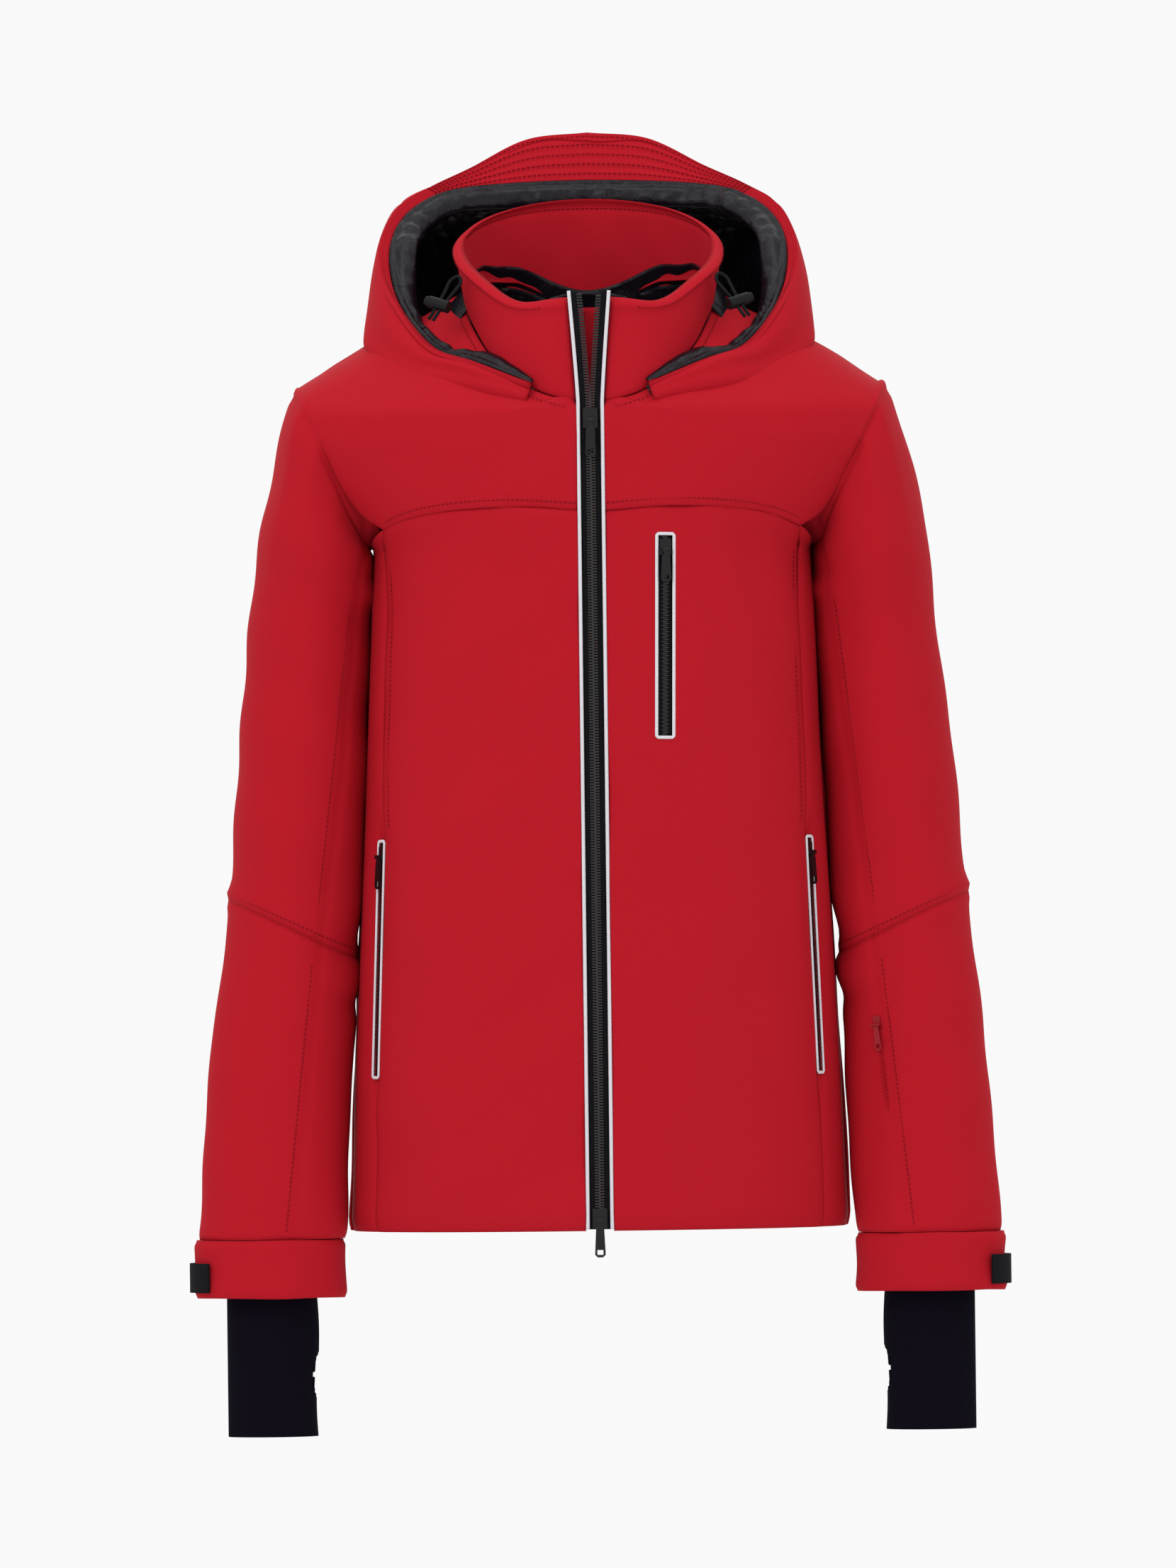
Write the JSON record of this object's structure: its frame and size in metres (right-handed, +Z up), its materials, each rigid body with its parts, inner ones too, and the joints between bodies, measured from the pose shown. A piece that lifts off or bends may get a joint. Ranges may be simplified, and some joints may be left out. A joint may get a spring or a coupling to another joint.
{
  "type": "hooded jacket",
  "caption": "Hooded softshell ski jacket hanging by its neck loop, with zipped front, chest, hand and sleeve pockets, stand-up collar, cuff tabs and knitted wrist gaiters.",
  "frame": {"origin": "the top of the hanger loop inside the back neck", "axes": "+Z up, +Y to the wearer's back, +X to the wearer's left"},
  "size_m": [0.6164, 0.3504, 0.979],
  "materials": {
    "softshell": "matte",
    "lining": "satin",
    "piping": "matte",
    "zip_black": "gloss",
    "tape_black": "matte",
    "slider_black": "gloss",
    "slider_red": "satin",
    "gaiter_knit": "matte",
    "lock_plastic": "satin",
    "cord": "matte"
  },
  "bodies": {
    "jacket_body": {"back_panel": "softshell", "front_yoke_left": "softshell", "front_yoke_right": "softshell", "side_panel_left": "softshell", "side_panel_right": "softshell", "front_panel_left": "softshell", "front_panel_right": "softshell", "body_lining": "lining", "collar_outer": "softshell", "collar_inner": "lining", "main_zip_teeth_left": "zip_black", "main_zip_teeth_right": "zip_black", "main_zip_tapes": "tape_black", "front_piping": "piping", "storm_flap": "softshell", "chest_pocket_piping": "piping", "chest_pocket_zip": "tape_black", "hand_pocket_piping": "piping", "hand_pocket_zips": "tape_black", "chest_pocket_bag": "lining", "hand_pocket_bags": "lining", "hanger_loop": "lining"},
    "upper_arm_left": {"upper_sleeve_left": "softshell", "upper_sleeve_lining_left": "lining"},
    "forearm_left": {"lower_sleeve_left": "softshell", "lower_sleeve_lining_left": "lining", "cuff_left": "softshell", "wrist_gaiter_left": "gaiter_knit", "sleeve_pocket_zip": "softshell"},
    "cuff_strap_left": {"cuff_tab_left": "tape_black"},
    "lock_button_left": {"cord_lock_button_left": "lock_plastic"},
    "upper_arm_right": {"upper_sleeve_right": "softshell", "upper_sleeve_lining_right": "lining"},
    "forearm_right": {"lower_sleeve_right": "softshell", "lower_sleeve_lining_right": "lining", "cuff_right": "softshell", "wrist_gaiter_right": "gaiter_knit"},
    "cuff_strap_right": {"cuff_tab_right": "tape_black"},
    "lock_button_right": {"cord_lock_button_right": "lock_plastic"},
    "hood": {"hood_centre": "softshell", "hood_side_left": "softshell", "hood_side_right": "softshell", "hood_lining": "lining", "hood_visor": "softshell", "cord_lock_left": "lock_plastic", "cord_lock_right": "lock_plastic", "drawcord_left": "cord", "drawcord_right": "cord"},
    "main_top_slider_body": {"main_top_slider": "slider_black"},
    "main_top_pull_body": {"main_top_pull": "slider_black"},
    "main_bottom_slider_body": {"main_bottom_slider": "slider_black"},
    "main_bottom_pull_body": {"main_bottom_pull": "slider_black"},
    "chest_slider_body": {"chest_slider": "slider_black"},
    "chest_pull_body": {"chest_pull": "slider_black"},
    "hand_left_slider_body": {"hand_left_slider": "slider_black"},
    "hand_left_pull_body": {"hand_left_pull": "slider_black"},
    "hand_right_slider_body": {"hand_right_slider": "slider_black"},
    "hand_right_pull_body": {"hand_right_pull": "slider_black"},
    "sleeve_slider_body": {"sleeve_slider": "slider_red"},
    "sleeve_pull_body": {"sleeve_pull": "slider_red"}
  },
  "joints": [
    {"name": "shoulder_left", "type": "hinge", "parent": "jacket_body", "child": "upper_arm_left", "pos_m": [0.224, -0.0724, -0.075], "axis": [0, -1, 0], "range_deg": [0, 50]},
    {"name": "elbow_left", "type": "hinge", "parent": "upper_arm_left", "child": "forearm_left", "pos_m": [0.235, -0.1384, -0.472], "axis": [-1, 0, 0], "range_deg": [0, 45]},
    {"name": "cuff_tab_open_left", "type": "hinge", "parent": "forearm_left", "child": "cuff_strap_left", "pos_m": [0.293, -0.0869, -0.739], "axis": [0, 0, 1], "range_deg": [0, 90]},
    {"name": "cord_lock_press_left", "type": "slide", "parent": "hood", "child": "lock_button_left", "axis": [-0.8503, -0.451, -0.2713], "range_m": [0, 0.003], "stiffness_N_per_m": 200, "springref_m": -0.002},
    {"name": "shoulder_right", "type": "hinge", "parent": "jacket_body", "child": "upper_arm_right", "pos_m": [-0.224, -0.0724, -0.075], "axis": [0, 1, 0], "range_deg": [0, 50]},
    {"name": "elbow_right", "type": "hinge", "parent": "upper_arm_right", "child": "forearm_right", "pos_m": [-0.235, -0.1384, -0.472], "axis": [-1, 0, 0], "range_deg": [0, 45]},
    {"name": "cuff_tab_open_right", "type": "hinge", "parent": "forearm_right", "child": "cuff_strap_right", "pos_m": [-0.293, -0.0869, -0.739], "axis": [0, 0, -1], "range_deg": [0, 90]},
    {"name": "cord_lock_press_right", "type": "slide", "parent": "hood", "child": "lock_button_right", "axis": [0.8503, -0.451, -0.2713], "range_m": [0, 0.003], "stiffness_N_per_m": 200, "springref_m": -0.002},
    {"name": "hood_raise", "type": "hinge", "parent": "jacket_body", "child": "hood", "pos_m": [0, -0.1624, -0.05], "axis": [1, 0, 0], "range_deg": [0, 30]},
    {"name": "main_top_slide", "type": "slide", "parent": "jacket_body", "child": "main_top_slider_body", "axis": [0, -0.03, -0.9996], "range_m": [-0.07, 0.33]},
    {"name": "main_top_pull_swing", "type": "hinge", "parent": "main_top_slider_body", "child": "main_top_pull_body", "pos_m": [0, -0.19333, -0.10092], "axis": [-1, 0, 0], "range_deg": [0, 150]},
    {"name": "main_bottom_slide", "type": "slide", "parent": "jacket_body", "child": "main_bottom_slider_body", "axis": [0, 0.03, 0.9996], "range_m": [0, 0.18]},
    {"name": "main_bottom_pull_swing", "type": "hinge", "parent": "main_bottom_slider_body", "child": "main_bottom_pull_body", "pos_m": [0, -0.21123, -0.69765], "axis": [-1, 0, 0], "range_deg": [0, 150]},
    {"name": "chest_slide", "type": "slide", "parent": "jacket_body", "child": "chest_slider_body", "axis": [-0.0132, -0.0301, -0.9995], "range_m": [0, 0.12]},
    {"name": "chest_pull_swing", "type": "hinge", "parent": "chest_slider_body", "child": "chest_pull_body", "pos_m": [0.05528, -0.19235, -0.19792], "axis": [-0.9853, -0.1699, 0.0181], "range_deg": [0, 150]},
    {"name": "hand_left_slide", "type": "slide", "parent": "jacket_body", "child": "hand_left_slider_body", "axis": [0.0367, -0.0386, -0.9986], "range_m": [0, 0.14]},
    {"name": "hand_left_pull_swing", "type": "hinge", "parent": "hand_left_slider_body", "child": "hand_left_pull_body", "pos_m": [0.16269, -0.13509, -0.42485], "axis": [-0.4992, -0.8663, 0.0152], "range_deg": [0, 150]},
    {"name": "hand_right_slide", "type": "slide", "parent": "jacket_body", "child": "hand_right_slider_body", "axis": [-0.0367, -0.0386, -0.9986], "range_m": [0, 0.14]},
    {"name": "hand_right_pull_swing", "type": "hinge", "parent": "hand_right_slider_body", "child": "hand_right_pull_body", "pos_m": [-0.16269, -0.13509, -0.42485], "axis": [-0.4992, 0.8663, -0.0152], "range_deg": [0, 150]},
    {"name": "sleeve_slide", "type": "slide", "parent": "forearm_left", "child": "sleeve_slider_body", "axis": [0.0991, -0.0945, -0.9906], "range_m": [0, 0.09]},
    {"name": "sleeve_pull_swing", "type": "hinge", "parent": "sleeve_slider_body", "child": "sleeve_pull_body", "pos_m": [0.20822, -0.13312, -0.55481], "axis": [-0.888, 0.4408, -0.1308], "range_deg": [0, 150]}
  ]
}
